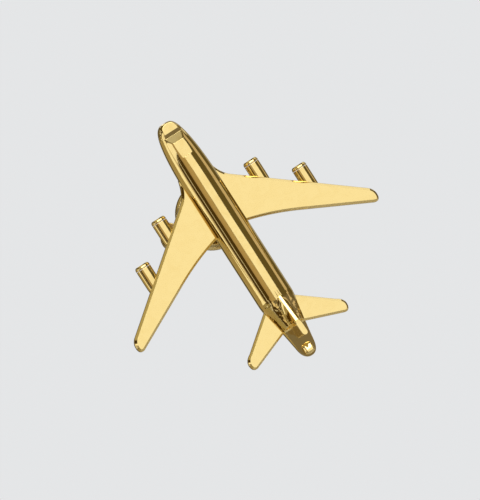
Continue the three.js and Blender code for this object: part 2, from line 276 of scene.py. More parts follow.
def polished_metal(
    name, tone, deep_tone, gloss, haze,
    wave_um=9.0, hair_um=0.5, buff=(1, 1, 30), wave=260.0, drag=(1, 1, 1),
):
    """Smeared noise mixes tone with deep_tone, and gloss with gloss + haze; two more noises are bumps."""
    material = bpy.data.materials.new(name)
    material.use_nodes = True
    nodes, links = material.node_tree.nodes, material.node_tree.links
    shader = nodes["Principled BSDF"]
    shader.inputs["Metallic"].default_value = 1.0
    place = add(nodes, "ShaderNodeTexCoord")
    slow = stretched_noise(nodes, links, place, drag, Scale=wave, Detail=2.0, Roughness=0.45)
    hairs = stretched_noise(nodes, links, place, buff, Scale=2600.0, Detail=3.0, Roughness=0.7)
    smear = add(nodes, "ShaderNodeTexNoise", Scale=900.0, Detail=5.0, Roughness=0.6, Distortion=0.8)
    links.new(place.outputs["Object"], smear.inputs["Vector"])
    patches = smear.outputs["Fac"]

    tint = add(nodes, "ShaderNodeMix", data_type="RGBA")
    tint.inputs["A"].default_value = (*tone, 1)
    tint.inputs["B"].default_value = (*deep_tone, 1)
    links.new(ramp(nodes, links, patches, 0.42, 0.8), tint.inputs["Factor"])
    links.new(tint.outputs["Result"], shader.inputs["Base Color"])
    links.new(ramp(nodes, links, patches, 0.35, 0.75, gloss, gloss + haze), shader.inputs["Roughness"])

    waviness = add(nodes, "ShaderNodeBump", Strength=1.0, Distance=wave_um * MICRON)
    links.new(slow, waviness.inputs["Height"])
    scratch = add(nodes, "ShaderNodeBump", Strength=1.0, Distance=hair_um * MICRON)
    links.new(hairs, scratch.inputs["Height"])
    links.new(waviness.outputs["Normal"], scratch.inputs["Normal"])
    links.new(scratch.outputs["Normal"], shader.inputs["Normal"])
    print("material", name)
    return material


# %% [markdown]
# The polishing wheel doesn't reach everywhere. The rim of the nose and the hollows beside the fin keep
# the lumps of the raw metal. A separate material would leave a hard line, so the body's own material
# gets a coarser bump, whose strength is a product of two soft bands.

# %% Places the wheel misses
def leave_unpolished(material, along, height, grain, depth_um):
    """A coarser bump inside two bands in mm, along the pin and up from its back, with soft ends."""
    nodes, links = material.node_tree.nodes, material.node_tree.links
    place = add(nodes, "ShaderNodeTexCoord")
    split = add(nodes, "ShaderNodeSeparateXYZ")
    links.new(place.outputs["Object"], split.inputs["Vector"])
    mask = add(nodes, "ShaderNodeMath", operation="MULTIPLY")
    for slot, (axis, low, high) in enumerate((("Z", *along), ("Y", -height[1], -height[0]))):
        offset = add(nodes, "ShaderNodeMath", operation="SUBTRACT")
        offset.inputs[1].default_value = 0.5 * (low + high) * MM
        away = add(nodes, "ShaderNodeMath", operation="ABSOLUTE")
        links.new(split.outputs[axis], offset.inputs[0])
        links.new(offset.outputs["Value"], away.inputs[0])
        edge = 0.5 * (high - low) * MM
        band = ramp(nodes, links, away.outputs["Value"], edge, 0.75 * edge, kind="SMOOTHSTEP")
        links.new(band, mask.inputs[slot])
    lumps = add(nodes, "ShaderNodeTexNoise", Scale=grain, Detail=1.5, Roughness=0.5)
    links.new(place.outputs["Object"], lumps.inputs["Vector"])
    bump = add(nodes, "ShaderNodeBump", Distance=depth_um * MICRON)
    links.new(mask.outputs["Value"], bump.inputs["Strength"])
    links.new(lumps.outputs["Fac"], bump.inputs["Height"])
    first = next(node for node in nodes if node.type == "BUMP" and not node.inputs["Normal"].is_linked)
    links.new(bump.outputs["Normal"], first.inputs["Normal"])
    print(material.name, "left rough between", [round(v, 1) for v in along], "mm")


# %% [markdown]
# Six finishes cover the pin: one gold on the body, one on the plates with its hairlines across, one on
# the pods, a duller brass on the clutch, and two steels. The body's wave is drawn out along its length.

# %% The finishes of this pin
PALE_GOLD = (0.955, 0.76, 0.335)
DEEP_GOLD = (0.88, 0.66, 0.25)
body_gold = polished_metal(
    "body_gold", PALE_GOLD, DEEP_GOLD, 0.04, 0.06, wave_um=22.0, wave=800.0, drag=(1, 1, 0.14)
)
leave_unpolished(body_gold, (NOSE_Y - 1.9, NOSE_Y + 1.9), (0.4, 3.25), 2400.0, 120.0)
leave_unpolished(body_gold, (NOSE_Y - 28.0, NOSE_Y - 23.4), (1.5, 4.4), 1100.0, 150.0)
plate_gold = polished_metal("plate_gold", PALE_GOLD, (0.925, 0.72, 0.3), 0.05, 0.06, buff=(12, 1, 1))
pod_gold = polished_metal("pod_gold", PALE_GOLD, DEEP_GOLD, 0.04, 0.06, wave_um=4.0)
clutch_brass = polished_metal("clutch_brass", (0.83, 0.66, 0.3), (0.66, 0.46, 0.17), 0.16, 0.16, 6.0, 1.4)
post_steel = polished_metal("post_steel", (0.62, 0.59, 0.54), (0.5, 0.46, 0.4), 0.2, 0.14, 3.0, 1.6)
spring_steel = polished_metal("spring_steel", (0.55, 0.55, 0.56), (0.4, 0.4, 0.42), 0.18, 0.1, 2.0, 1.2)

# %% [markdown]
# ## The fuselage
# On the real pin this is one struck body: a round crown over straight sides, flat behind. It could be a
# cylinder with cuts, but its reflections would break at every facet. Here each cross-section is one
# closed ring, and its width and height are functions of the distance aft of the nose, in mm.

# %% The outline from above
SHOULDER = 8.6
TAPER_START = 23.9
SIDE_TAPER = 0.42
tail_outline = np.vstack([
    bend((TAPER_START, HALF_WIDTH), (24.5, HALF_WIDTH), (25.3, 2.02), 30),
    bend((25.3, 2.02), (27.9, 1.50), (30.4, 1.15), 60),
    bend((30.4, 1.15), (31.9, 0.95), (LENGTH, 0.0), 200),
    [(LENGTH, 0.0)],
])


def half_width(aft):
    """Nose: HALF_WIDTH (1 - (1 - aft/SHOULDER)^2)^0.3, which is blunt; then straight; then the tail."""
    nose = np.clip(aft / SHOULDER, 0, 1)
    width = HALF_WIDTH * (1 - (1 - nose) ** 2) ** 0.3
    return np.where(aft > TAPER_START, np.interp(aft, *tail_outline.T), width)


print("half widths 1, 5, 15 and 30 mm aft:", np.round(half_width(np.array([1.0, 5, 15, 30])), 2).tolist())

# %% [markdown]
# Two sets of flats are cut across the crown: steps over the nose, and a low deck under the end of the
# fin. They are straight runs from station to station. Each corner between two runs is averaged over a few
# hundredths of a millimetre, because even a sharp edge of polished metal carries a thin glint.

# %% The heights
DECK_STATIONS = [0, 1.25, 1.72, 2.62, 4.56, 4.62, 4.72, 27.30, 27.46, 27.82, 28.02, LENGTH]
DECK_HEIGHTS = [3.30, 3.44, 3.33, 3.86, 4.12, 4.30, 6.00, 6.00, 3.85, 2.90, 2.78, 2.25]
EDGE_SOFTNESS = 0.035


def deck_height(aft):
    """The height of the flats that cut the crown, as straight runs, averaged over 0.03 mm."""
    shifts = np.linspace(-0.014, 0.014, 5)
    return np.mean([np.interp(aft + shift, DECK_STATIONS, DECK_HEIGHTS) for shift in shifts], axis=0)


def crown_height(aft, share):
    """AXIS_HEIGHT + half width times share, the sine of the angle; near the tip up to 1.36 times taller."""
    taller = 1 + 0.36 * (1 - smooth_step(aft, 0.3, 1.7))
    return AXIS_HEIGHT + half_width(aft) * taller * share


def body_top(aft, x):
    """Top of the body above (aft, x): crown or flat, whichever is lower, with a rounded edge."""
    share = np.sqrt(np.clip(1 - (x / np.maximum(half_width(aft), 1e-6)) ** 2, 0, 1))
    return smooth_min(crown_height(aft, share), deck_height(aft), EDGE_SOFTNESS)


print("crown above the middle, 15 mm aft:", round(float(body_top(15.0, 0.0)), 2), "mm")

# %% [markdown]
# The rings stand close together where the shape turns quickly: at the tip, on both sides of each deck
# corner, and at the very end. The sides draw in towards the back, along the outline's own normal, so
# that the nose keeps its round plan all the way down. Rings less than half a micron apart are left
# out, and the first and last ring shrink to a line, so that merging doubled points closes both ends.

# %% The body
def fuselage_rings():
    """Crown: (w cos, w sin). Side: drawn in by SIDE_TAPER (share of the way down)^1.4, then a small rim."""
    aft = np.concatenate([
        0.6 * (1 - np.cos(np.linspace(0, math.pi / 2, 34, endpoint=False))),
        np.linspace(0.6, 5.0, 130, endpoint=False),
        np.linspace(5.0, TAPER_START, 40, endpoint=False),
        np.linspace(TAPER_START, 27.2, 40, endpoint=False),
        np.linspace(27.2, 28.6, 48, endpoint=False),
        np.linspace(28.6, 30.9, 24, endpoint=False),
        30.9 + (LENGTH - 30.9) * np.sin(np.linspace(0, math.pi / 2, 40)),
        np.add.outer(DECK_STATIONS[1:-1], np.linspace(-0.021, 0.021, 7)).ravel(),
    ])
    aft = np.unique(np.round(aft, 4))
    aft = aft[np.diff(aft, prepend=-1.0) > 0.0005][:, None]
    width = half_width(aft)
    slope = np.gradient(width[:, 0], aft[:, 0])[:, None]
    slope[0], slope[-1] = 1e3, -1e3
    width[-1] = 0.0
    normal_x, normal_y = 1 / np.hypot(1, slope), slope / np.hypot(1, slope)

    angle = np.linspace(0, math.pi, 97)
    top_x = width * np.cos(angle)
    top_z = smooth_min(crown_height(aft, np.sin(angle)), deck_height(aft), EDGE_SOFTNESS)
    last = np.sin(np.linspace(0.2, math.pi / 2, 5))
    down = np.concatenate([np.linspace(0, 0.9, 9)[1:], 0.9 + 0.1 * last])
    rim = 0.2 * (1 - np.sqrt(1 - np.clip((down - 0.9) / 0.1, 0, 1) ** 2))
    draw = SIDE_TAPER * down**1.4 + rim
    side_x = np.maximum(width - draw * normal_x, 0)
    side_y = -draw * normal_y
    side_z = AXIS_HEIGHT * (1 - down) + 0 * width
    flat = np.linspace(-1, 1, 13)[1:-1]
    back_x = side_x[:, -1:] * flat
    back_y, back_z = side_y[:, -1:] + 0 * flat, 0 * back_x
    x = np.hstack([top_x, -side_x, back_x, side_x[:, ::-1]])
    y = NOSE_Y - aft + np.hstack([0 * top_x, side_y, back_y, side_y[:, ::-1]])
    z = np.hstack([top_z, side_z, back_z, side_z[:, ::-1]])
    return np.stack([x, y, z], axis=-1)


piece(
    "fuselage_body", *skin(fuselage_rings(), ("folded", "folded")),
    ["fuselage"], "pin", "body_gold", body_gold,
)

# %% [markdown]
# ## Wings and tailplanes
# These are flat plates with a sloping edge, cut from sheet and brazed into the body. An extrusion with
# a Bevel modifier would do, but the bevel would also run along the root, inside the body. So the
# outline is drawn once, and rings of it are shrunk inward and lifted step by step.

# %% Shrink an outline
def inset(loop, amount):
    """Moves a closed loop inward by amount along its normals; its leftmost edge, in the body, stays put."""
    ahead = np.roll(loop, -1, 0) - np.roll(loop, 1, 0)
    normal = np.stack([-ahead[:, 1], ahead[:, 0]], -1) / np.linalg.norm(ahead, axis=1)[:, None]
    ahead_x, ahead_y = np.roll(loop, -1, 0).T
    area = 0.5 * np.sum(loop[:, 0] * ahead_y - loop[:, 1] * ahead_x)
    free = smooth_step(loop[:, :1], loop[:, 0].min(), loop[:, 0].min() + 0.4)
    return loop + amount * free * normal * math.copysign(1, area)


square = np.array([[0, 0], [4, 0], [4, 4], [0, 4.0]])
print("a 4 mm square less 1 mm:", np.round(inset(square, 1.0), 2).tolist())

# %% [markdown]
# The section of a plate goes up a straight side, up a slope of about 45 degrees, and over a crest on to
# the flat. The crest is kept very tight, because the slope mirrors a darker part of the room than the
# face does, and a wide crest would draw a bright seam between them.

# %% A plate's section
def plate_rings(loop, back, top, slope_width, slope_depth, crest=0.012):
    """Rings of (inset, height): a softened back edge, a straight side, a slope, and a rounded crest."""
    curve = np.linspace(0, math.pi / 2, 5)
    steep = math.atan2(slope_depth, slope_width)
    steps = [(0.1 * (1 - math.sin(a)), back + 0.1 * (1 - math.cos(a))) for a in curve]
    knee = top - slope_depth
    steps += [(0.0, knee - 0.03), (0.002, knee - 0.01), (0.012, knee + 0.012)]
    for share in (0.25, 0.5, 0.75):
        steps.append((slope_width * share, knee + slope_depth * share))
    turn = np.linspace(math.pi / 2 - steep, math.pi / 2, 7)
    centre = (slope_width + crest * math.tan(steep / 2), top - crest)
    steps += [(centre[0] - crest * math.cos(a), centre[1] + crest * math.sin(a)) for a in turn]
    rings = [np.column_stack([inset(loop, amount), np.full(len(loop), z)]) for amount, z in steps]
    return np.array(rings)


print("a plate has", len(plate_rings(square, 0.0, 1.0, 0.2, 0.2)), "rings")

# %% [markdown]
# The outlines are chains of quadratic curves, each from a point through a control point to the next,
# written as (starboard, aft of the nose). The port side uses the same rings, mirrored.

# %% The wing's outline
def on_plan(x, aft):
    """A point on the plan: x to starboard, and y measured back from the nose."""
    return np.array([x, NOSE_Y - aft])


def wing_loop():
    """Leading edge with a root strake, rounded tip, and a trailing edge that squares up near the root."""
    tip, root, at = wing_high[0], wing_low[0], on_plan
    return np.vstack([
        bend(at(root, 6.2), at(1.8, 6.2), at(2.1, 6.5), 4),
        bend(at(2.1, 6.5), at(2.55, 8.3), at(3.5, 9.03), 24),
        bend(at(3.5, 9.03), at(10, 14.065), at(16.35, 18.99), 40),
        bend(at(16.35, 18.99), at(tip + 0.05, 19.5), at(tip, 20.3), 24),
        bend(at(tip, 20.3), at(tip - 0.05, 21.05), at(16.3, 20.9), 24),
        bend(at(16.3, 20.9), at(12.65, 19.1), at(9.0, 17.3), 30),
        bend(at(9.0, 17.3), at(5.6, 15.55), at(2.2, 14.65), 30),
        bend(at(2.2, 14.65), at(1.8, 14.6), at(root, 14.6), 4),
        bend(at(root, 14.6), at(root, 10), at(root, 6.2), 12),
    ])


print("the wing's outline has", len(wing_loop()), "points")

# %% The tailplane's outline
def tailplane_loop():
    """A small swept plate with a round tip."""
    tip, root, at = tailplane_high[0], tailplane_low[0], on_plan
    return np.vstack([
        bend(at(root, 23.75), at(3.4, 25.8), at(6.05, 27.85), 30),
        bend(at(6.05, 27.85), at(tip, 28.3), at(tip, 29.0), 20),
        bend(at(tip, 29.0), at(tip - 0.05, 29.85), at(6.2, 29.75), 20),
        bend(at(6.2, 29.75), at(3.475, 28.75), at(root, 27.75), 24),
        bend(at(root, 27.75), at(root, 25.5), at(root, 23.75), 10),
    ])


print("the tailplane's outline has", len(tailplane_loop()), "points")

# %% The four plates
def mirrored(rings, side):
    """The same rings on the other side of the pin when side is -1."""
    return rings * np.array([side, 1, 1])


wing_rings = plate_rings(wing_loop(), wing_low[2], wing_high[2], 0.27, 0.29)
tailplane_rings = plate_rings(tailplane_loop(), tailplane_low[2], tailplane_high[2], 0.24, 0.26)
for side_name, side in (("starboard", 1), ("port", -1)):
    for kind, rings in (("wing", wing_rings), ("tailplane", tailplane_rings)):
        node = f"{side_name}_{kind}"
        piece(f"{node}_plate", *skin(mirrored(rings, side)), [node], "pin", "plate_gold", plate_gold)


# %% [markdown]
# ## Turned pieces
# Pods, intake rings, the post and the clutch discs all come off a lathe. A turned piece is a profile of
# radius against distance along an axis. Each point of the profile becomes one ring.

# %% Lathe helper
def turned(profile, centre, axis="y", around=64):
    """Each (radius, distance) pair becomes a circle of that radius, that far along the axis from centre."""
    profile = np.asarray(profile, float)
    angle = np.linspace(0, 2 * math.pi, around, endpoint=False)
    radius, far = profile[:, :1], profile[:, 1:] + 0 * angle
    a, b = radius * np.cos(angle), radius * np.sin(angle)
    stack = (a, far, b) if axis == "y" else (a, b, far)
    return np.stack(stack, axis=-1) + np.asarray(centre, float)


def round_corner(centre, radius, start, end, count=6):
    """Points on an arc of a profile: centre plus radius times (cos, sin), from start to end degrees."""
    a = np.radians(np.linspace(start, end, count))
    return np.column_stack([centre[0] + radius * np.cos(a), centre[1] + radius * np.sin(a)])


print("a quarter round:", np.round(round_corner((0, 0), 1.0, 0, 90, 3), 2).tolist())

# %% [markdown]
# ## Engine pods
# Each engine is a short blind tube under the leading edge, with a bright lip. The bore is real, so a
# look from the front finds a dark hollow with a glint in it. Two profile points close together hold
# the shading flat where the side begins, or the lip's curve would leak into the side.

# %% Profiles of the pod and its ring
BORE = 0.62
RING_SEAT = 0.5


def pod_profile(radius, bore, length):
    """Up the bore, over the seat for the ring, back along the outside, and in to a blunt tail."""
    return np.vstack([
        [(0.0, -2.6), (0.3, -2.62), (bore - 0.06, -2.6)],
        round_corner((bore - 0.06, -2.54), 0.06, -90, 0, 4),
        [(bore, -1.5), (bore, -RING_SEAT)],
        [(radius - 0.01, -RING_SEAT), (radius, -RING_SEAT - 0.01)],
        [(radius, -RING_SEAT - 0.03), (radius, -0.8)],
        bend((radius, -2.0), (radius, -3.4), (0.78, -3.9), 12),
        bend((0.78, -3.9), (0.66, -4.35), (0.4, -length + 0.03), 8),
        [(0.32, -length), (0.0, -length)],
    ])


def ring_profile(radius, bore, length):
    """A closed loop: a quarter ellipse from the side in to the bore, then straight walls."""
    turn, lip_depth = np.linspace(0, math.pi / 2, 14), 0.38
    lip = bore + 0.05 + (radius - bore - 0.05) * np.cos(turn)
    return np.vstack([
        np.column_stack([lip, -lip_depth + lip_depth * np.sin(turn)]),
        round_corner((bore + 0.05, -0.05), 0.05, 90, 180, 5),
        [(bore, -length + 0.01), (bore + 0.01, -length)],
        [(radius - 0.01, -length), (radius, -length + 0.01)],
    ])


print("profile points:", len(pod_profile(0.9, BORE, 4.5)), "and", len(ring_profile(0.9, BORE, 0.5)))

# %% [markdown]
# The pods aren't quite round: each has flatter sides, which gives it broad stripes of light instead of
# thin ones. A power below one on the sine and cosine makes a circle into such a rounded square.

# %% Four pods with their rings
def squared(rings, centre, power=0.84):
    """Raises the sine and cosine of the turning angle to a power below one, with their signs kept."""
    spun = rings - centre
    radius = np.hypot(spun[..., 0], spun[..., 2])[..., None]
    unit = spun[..., [0, 2]] / np.maximum(radius, 1e-9)
    spun[..., [0, 2]] = radius * np.sign(unit) * np.abs(unit) ** power
    return spun + centre


for side_name in ("port", "starboard"):
    for spot in ("inner", "outer"):
        ring_node = f"{side_name}_{spot}_intake_ring"
        pod_node = f"{side_name}_{spot}_pod"
        ring_low, ring_high = bench_box(ring_node)
        pod_low, pod_high = bench_box(pod_node)
        radius = (ring_high[0] - ring_low[0]) / 2
        front = [(ring_low[0] + ring_high[0]) / 2, ring_high[1], (ring_low[2] + ring_high[2]) / 2]
        shell = turned(pod_profile(radius, BORE, ring_high[1] - pod_low[1]), front)
        lip = turned(ring_profile(radius + 0.004, BORE - 0.01, ring_high[1] - ring_low[1]), front)
        piece(
            f"{pod_node}_shell", *skin(squared(shell, front), ("point", "point")),
            [pod_node], "pin", "pod_gold", pod_gold,
        )
        piece(
            f"{ring_node}_lip", *skin(squared(lip, front), loop=True),
            [ring_node], "pin", "pod_gold", pod_gold,
        )


# %% [markdown]
# ## The tail fin
# The fin is a ridge that grows out of the crown and ends in a small flat top. Its flanks are hollow
# curves, because the braze fills the corner. A blade set on the body would show a hard seam. So it is
# made as a height above the body: the body's own top plus a ridge, which fades as a cube.

# %% Fin
FIN_END = 29.0
FIN_ROUND = 0.42


def fin_rings(sink=0.04):
    """Height = body top + ridge (1 - u)^3, where u is 0 at the edge of the flat top and 1 at its reach."""
    runs = [np.linspace(23.1, 27.2, 64), np.linspace(27.22, 28.3, 40), np.linspace(28.33, FIN_END, 20)]
    round_end = FIN_END + FIN_ROUND * np.sin(np.radians(np.linspace(9, 90, 12)))
    aft = np.concatenate([*runs, round_end])[:, None]
    stations = [23.1, 23.5, 24.0, 27.35, 27.42, 29.4, LENGTH]
    ridge_top = np.interp(aft, stations, [4.37, 4.40, 4.45, 5.37, 5.39, 5.64, fin_high[2]])
    late = np.clip((aft - FIN_END) / FIN_ROUND, 0, 1)
    half = np.interp(aft, [23.1, 27.3, 27.9, FIN_END], [0.20, 0.22, 0.38, 0.36])
    half = half * np.sqrt(1 - late**2.4) + 0.004
    soft = np.minimum(np.interp(aft, [23.4, 27.4, 28.3], [0.09, 0.09, 0.06]), 0.8 * half)
    reach = np.interp(aft, [23.4, 24.6, 27.2, 28.0], [0.5, 0.75, 0.75, 0.1])
    flank = np.linspace(0, 1, 30) ** 1.6
    cap = np.sin(np.linspace(0, math.pi / 2, 8, endpoint=False))
    top_x = np.hstack([(half - soft) * np.linspace(0, 1, 4, endpoint=False), half - soft + soft * cap])
    top_z = ridge_top - np.hstack([np.zeros((1, 4)) + 0 * aft, soft * (1 - np.sqrt(1 - cap**2))])
    side_x = half + reach * flank
    base = body_top(aft, side_x) - sink
    side_z = base + (ridge_top - soft - base) * (1 - flank) ** 3
    low = np.interp(aft, [27.2, 27.8], [3.2, 2.45])
    x = np.hstack([top_x, side_x, side_x[:, -1:]])
    z = np.hstack([top_z, np.maximum(side_z, low + 0.05), low])
    x = np.hstack([-x[:, :0:-1], x])
    z = np.hstack([z[:, :0:-1], z])
    y = np.broadcast_to(NOSE_Y - aft, x.shape)
    return np.stack([x, y, z], axis=-1)


piece("tail_fin_blade", *skin(fin_rings()), ["tail_fin"], "pin", "body_gold", body_gold)


# %% [markdown]
# ## The tail boss
# A small block with a full, square-shouldered dome ends the tail. It is turned from the profile
# sqrt(1 - |t|^4.6), squared like the pods but more, then sheared: its starboard side stands a little
# higher and its front lower, so that its top mirrors the brightest lamp.

# %% Boss
boss_centre, boss_half = (boss_low + boss_high) / 2, (boss_high - boss_low) / 2
lengthwise = np.sin(np.linspace(-math.pi / 2, math.pi / 2, 41))
boss_profile = np.column_stack([np.sqrt(1 - np.abs(lengthwise) ** 4.6), lengthwise])
boss_rings = squared(turned(boss_profile, (0, 0, 0)), 0.0, 0.52)
boss_rings = boss_rings * boss_half * [1, 0.9, 0.85] + [0, 0.16, 0]
boss_rings[..., 2] += 0.1 * boss_rings[..., 0] - 0.25 * boss_rings[..., 1]
piece(
    "tail_boss_dome", *skin(boss_rings + boss_centre, ("point", "point")),
    ["tail_boss"], "pin", "body_gold", body_gold,
)

# %% [markdown]
# ## Post and pad
# Behind the face, a nail holds the pin: its head is brazed into the flat back, and a groove near the
# tip gives the clutch something to snap into. A little fillet of braze runs round the foot. Both are
# plain turned profiles, listed as (radius, height) from the part that is buried to the tip.

# %% Post and pad
post_low, post_high = bench_box("post")
pad_low, pad_high = bench_box("post_pad")
POST_RADIUS = post_high[0]
PAD_RADIUS = pad_high[0]
post_profile = np.vstack([
    [(0.0, 0.3), (0.35, 0.3), (0.35, 0.02)],
    bend((1.05, -0.06), (POST_RADIUS + 0.02, -0.1), (POST_RADIUS, -0.75), 14),
    [(POST_RADIUS, -0.75), (POST_RADIUS, -6.28)],
    round_corner((POST_RADIUS - 0.04, -6.32), 0.04, 0, -60, 4),
    [(0.43, -6.47), (0.42, -6.6), (0.43, -6.74)],
    round_corner((POST_RADIUS - 0.05, -6.93), 0.05, 50, 0, 4),
    [(POST_RADIUS, -7.45)],
    bend((POST_RADIUS - 0.01, -7.55), (0.4, -8.0), (0.17, post_low[2] + 0.05), 10),
    [(0.1, post_low[2] + 0.01), (0.0, post_low[2])],
])
pad_profile = np.vstack([
    [(0.0, 0.3), (PAD_RADIUS, 0.3)],
    [(PAD_RADIUS, 0.02)],
    round_corner((PAD_RADIUS - 0.06, -0.01), 0.06, 0, -90, 6),
    [(0.9, -0.075), (0.0, -0.075)],
])
piece(
    "post_nail", *skin(turned(post_profile, (0, 0, 0), "z"), ("point", "point")),
    ["post"], "pin", "post_steel", post_steel,
)
piece(
    "post_pad_disc", *skin(turned(pad_profile, (0, 0, 0), "z", 96), ("point", "point")),
    ["post_pad"], "pin", "post_steel", post_steel,
)

# %% [markdown]
# ## The butterfly clutch
# Two stampings make the shell: a disc with a rolled rim, and a domed cap caught under the rim, with a
# window on each side. Two sprung ears rock in the windows. Outside they are finger lobes, and inside
# they are forked jaws. The disc is a closed profile, turned: it has a hole, so it needs no caps.

# %% Clutch base
base_low, base_high = bench_box("clutch_base")
CLOTH_GAP = -base_high[2]
RIM_RADIUS = base_high[0]


def lifted(profile):
    """(radius, lift off the cloth) to (radius, bench z), where z is minus the cloth gap minus the lift."""
    profile = np.asarray(profile, float)
    return np.column_stack([profile[:, 0], -CLOTH_GAP - profile[:, 1]])


base_profile = lifted(np.vstack([
    round_corner((0.84, 0.06), 0.06, 180, 270, 4),
    [(1.3, 0.0), (1.5, 0.05), (3.2, 0.05), (3.4, 0.0), (3.9, 0.0)],
    round_corner((RIM_RADIUS - 0.48, 0.48), 0.48, -80, 0, 9),
    round_corner((RIM_RADIUS - 0.24, 0.76), 0.24, 0, 180, 12),
    [(RIM_RADIUS - 0.36, 0.6), (RIM_RADIUS - 0.28, 0.42), (3.4, 0.4), (1.4, 0.4)],
    round_corner((0.84, 0.34), 0.06, 90, 180, 4),
]))
piece(
    "clutch_base_disc", *skin(turned(base_profile, (0, 0, 0), "z", 96), loop=True),
    ["clutch_base"], "clutch", "clutch_brass", clutch_brass,
)

# %% [markdown]
# The cap is a dome of rings. A boolean could cut its windows, but it leaves ragged triangles. Here the
# quads inside the windows are simply left out, and Solidify gives the rest its sheet, edges and all.

# %% Clutch cap
CAP_SHEET = 0.3
WINDOW_HALF_ANGLE = 27
WINDOW_LIFT = 1.25
WINDOW_RADIUS = 2.3


def cap_shell():
    """The middle of the dome's sheet as rings, less every quad whose centre lies inside a side window."""
    profile = np.vstack([
        [(3.86, 0.56), (3.62, 0.56)],
        bend((3.5, 0.62), (3.46, 1.3), (3.32, 1.7), 14),
        bend((3.32, 1.7), (3.0, 2.75), (2.0, 3.0), 18),
        bend((2.0, 3.0), (1.6, 3.1), (1.3, 3.1), 6),
        [(1.3, 3.1), (1.16, 3.02)],
    ])
    rings = turned(lifted(profile), (0, 0, 0), "z", 144)
    points, faces = skin(rings, ("open", "open"))
    middle = rings.reshape(-1, 3)[np.array(faces)].mean(axis=1)
    lift = -CLOTH_GAP - middle[:, 2]
    sideways = np.degrees(np.arctan2(np.abs(middle[:, 1]), np.abs(middle[:, 0])))
    radius = np.hypot(middle[:, 0], middle[:, 1])
    window = (sideways < WINDOW_HALF_ANGLE) & (lift > WINDOW_LIFT) & (radius > WINDOW_RADIUS)
    return points, [face for face, cut in zip(faces, window) if not cut]


cap_points, cap_faces = cap_shell()
cap_mesh = bpy.data.meshes.new("clutch_cap_dome")
cap_mesh.from_pydata(upright(cap_points).tolist(), [], cap_faces)
cap = bpy.data.objects.new("clutch_cap_dome", cap_mesh)
bpy.context.scene.collection.objects.link(cap)
sheet_metal = cap.modifiers.new("sheet", "SOLIDIFY")
sheet_metal.thickness = CAP_SHEET * MM
sheet_metal.offset = 0
print("cap quads:", len(cap_faces))

# %% [markdown]
# The modifier's result is read back and kept as the piece's own mesh, with the corners of the sheet
# sharp and its dome smooth.

# %% Keep the cap's sheet
shell = bmesh.new()
bpy.context.view_layer.update()
shell.from_object(cap, bpy.context.evaluated_depsgraph_get())
cap.modifiers.clear()
loose = [v for v in shell.verts if not v.link_faces]
bmesh.ops.delete(shell, geom=loose, context="VERTS")
bmesh.ops.recalc_face_normals(shell, faces=shell.faces)
for face in shell.faces:
    face.smooth = True
for edge in shell.edges:
    edge.smooth = edge.calc_face_angle(0.0) < math.radians(40)
open_edges = sum(not edge.is_manifold for edge in shell.edges)
print("clutch_cap_dome", len(shell.verts), "points,", open_edges, "open edges")
shell.to_mesh(cap_mesh)
shell.free()
cap_mesh.materials.append(clutch_brass)
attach(cap, "clutch")
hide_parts("clutch_cap")

# %% [markdown]
# Each ear is a strip of sheet, bent up and out through its window. It could be cut flat and bent with
# a modifier, but one formula is enough. First comes the flat plan: a fork that follows the post, a
# straight neck, and a lobe that closes as a rounded end.

# %% An ear's plan
EAR_GRIP = 0.66
EAR_JAW = 1.18
EAR_TIP = 6.1


def ear_plan(share, along):
    """x runs from the fork to the tip, and y is share times a half width that swells into the lobe."""
    fork_y = EAR_JAW * share
    fork_x = np.sqrt(np.maximum(EAR_GRIP**2 - fork_y**2, 0.2**2))
    x = fork_x + (EAR_TIP - fork_x) * along
    swell = EAR_JAW + (1.9 - EAR_JAW) * smooth_step(x, 3.5, 4.5)
    lobe = np.sqrt(np.clip(1 - (np.maximum(x - 4.5, 0) / (EAR_TIP - 4.5)) ** 2.2, 0, 1))
    return x, share * swell * lobe


print("the lobe is", round(2 * float(ear_plan(1.0, 0.7)[1]), 2), "mm wide near its middle")

# %% [markdown]
# Then the plan is bent. A ring of points runs round each cross-section of the sheet, and half of the
# sheet's thickness is laid off on each side, square to the slope, so the bend doesn't thin it.

# %% Two ears
def ear_rings(sheet=0.33):
    """Closed sections of the sheet, bent: lift 1.22 + 0.2147 x, plus 0.126 (x - 3.4)^2 outside the cap."""
    corner = np.sin(np.radians(np.linspace(0, 90, 6)))
    along = [[0, 0], 0.0006 * np.arange(1, 4), np.sin(np.linspace(0.004, math.pi / 2, 90))]
    along = np.concatenate(along)
    fold = np.concatenate([[0.0, 0.55, 0.75, 0.9, 1.0], np.ones(90)])[:, None]
    share = np.concatenate([np.linspace(-0.93, 0.93, 41), 0.93 + 0.07 * corner[1:]])
    share = np.concatenate([-0.93 - 0.07 * corner[:0:-1], share])
    depth = np.sqrt(1 - np.clip((np.abs(share) - 0.93) / 0.07, 0, 1) ** 2)
    share = np.concatenate([share, share[::-1]])
    level = np.concatenate([depth, -depth[::-1]]) * sheet / 2 * fold
    x, y = ear_plan(share, along[:, None])
    outside = np.maximum(x - 3.4, 0)
    lift = 1.22 + 0.2147 * x + 0.126 * outside**2
    slope = 0.2147 + 0.252 * outside
    size = np.hypot(1, slope)
    return np.stack([x - level * slope / size, y, -CLOTH_GAP - lift - level / size], axis=-1)


for side_name, side in (("starboard", 1), ("port", -1)):
    piece(
        f"{side_name}_ear_strip", *skin(mirrored(ear_rings(), side), ("folded", "folded")),
        [f"{side_name}_ear"], f"{side_name}_lever", "clutch_brass", clutch_brass,
    )


# %% [markdown]
# A split ring of wire under the jaws presses them back. A curve object with a bevel would make the
# same wire, but its split ends would be open, so it is a tube of rings along a wavy circle.

